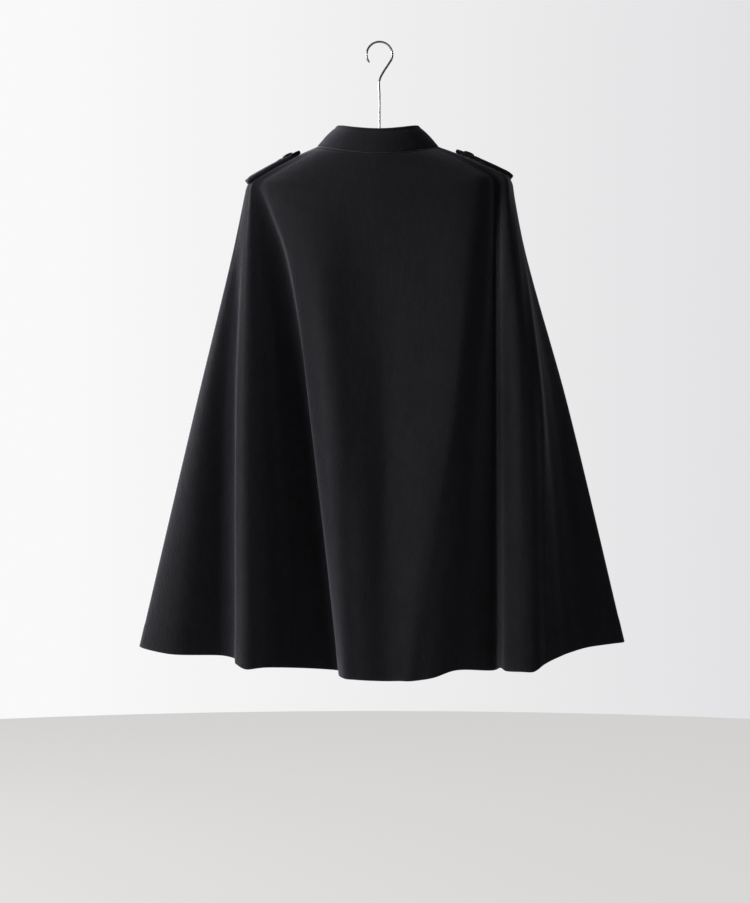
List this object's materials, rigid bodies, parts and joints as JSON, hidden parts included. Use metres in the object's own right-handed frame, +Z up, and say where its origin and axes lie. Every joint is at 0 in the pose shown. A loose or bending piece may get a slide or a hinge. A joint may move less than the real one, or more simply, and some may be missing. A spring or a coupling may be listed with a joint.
{
  "type": "wool cloak on hanger",
  "caption": "Flared thigh-length cloak of thick near-black wool, with a stand collar, buttoned shoulder straps and a buttoned front, hanging in soft folds from a coat hanger.",
  "frame": {"origin": "inner top of the hanger's hook, where it bears on the rail", "axes": "+Z up along the hook's shank, the cloak's fronts face -Y, the wearer's left is +X"},
  "size_m": [0.752, 0.1774, 0.9825],
  "materials": {
    "wool_cloth": "milled wool, soft short nap",
    "button_horn": "dark horn, satin",
    "hanger_wood": "clear satin varnish",
    "hook_wire": "drawn wire, bright"
  },
  "bodies": {
    "root": {"back": "wool_cloth", "front_right": "wool_cloth", "front_left": "wool_cloth", "collar": "wool_cloth", "shoulder_strap_left": "wool_cloth", "shoulder_strap_right": "wool_cloth", "strap_button_left": "button_horn", "strap_button_right": "button_horn", "front_button_1": "button_horn", "front_button_2": "button_horn", "front_button_3": "button_horn", "front_button_4": "button_horn", "front_button_5": "button_horn", "hanger_arms": "hanger_wood", "hanger_hook": "hook_wire"}
  },
  "joints": []
}
